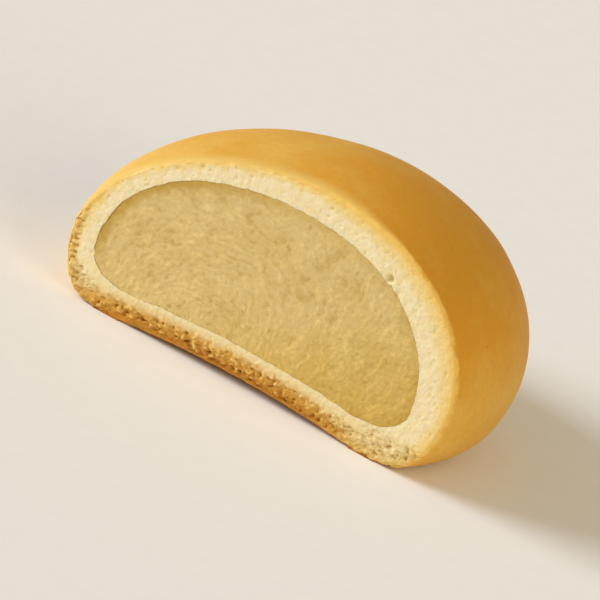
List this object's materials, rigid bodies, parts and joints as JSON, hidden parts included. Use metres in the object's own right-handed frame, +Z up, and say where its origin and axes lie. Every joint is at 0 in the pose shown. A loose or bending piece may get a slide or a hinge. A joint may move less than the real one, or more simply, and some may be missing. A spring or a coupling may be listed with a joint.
{
  "type": "baked manju",
  "caption": "Round domed baked bun, cut upright to a flat face that shows a smooth bean paste core inside a crust of baked dough, standing on a slightly hollow base.",
  "frame": {"origin": "on the table, under the middle of the cut piece's own box", "axes": "+Z up, the cut face towards -Y, +X along the width of the cut and towards the taller side of the bun"},
  "size_m": [0.052, 0.0356, 0.0263],
  "materials": {
    "crust": "golden baked dough, smooth satin skin outside, pale porous crumb at the cut, browned base",
    "filling": "fine moist bean paste, matte, smeared by the knife"
  },
  "bodies": {
    "root": {"crust": "crust", "filling": "filling"}
  },
  "joints": []
}
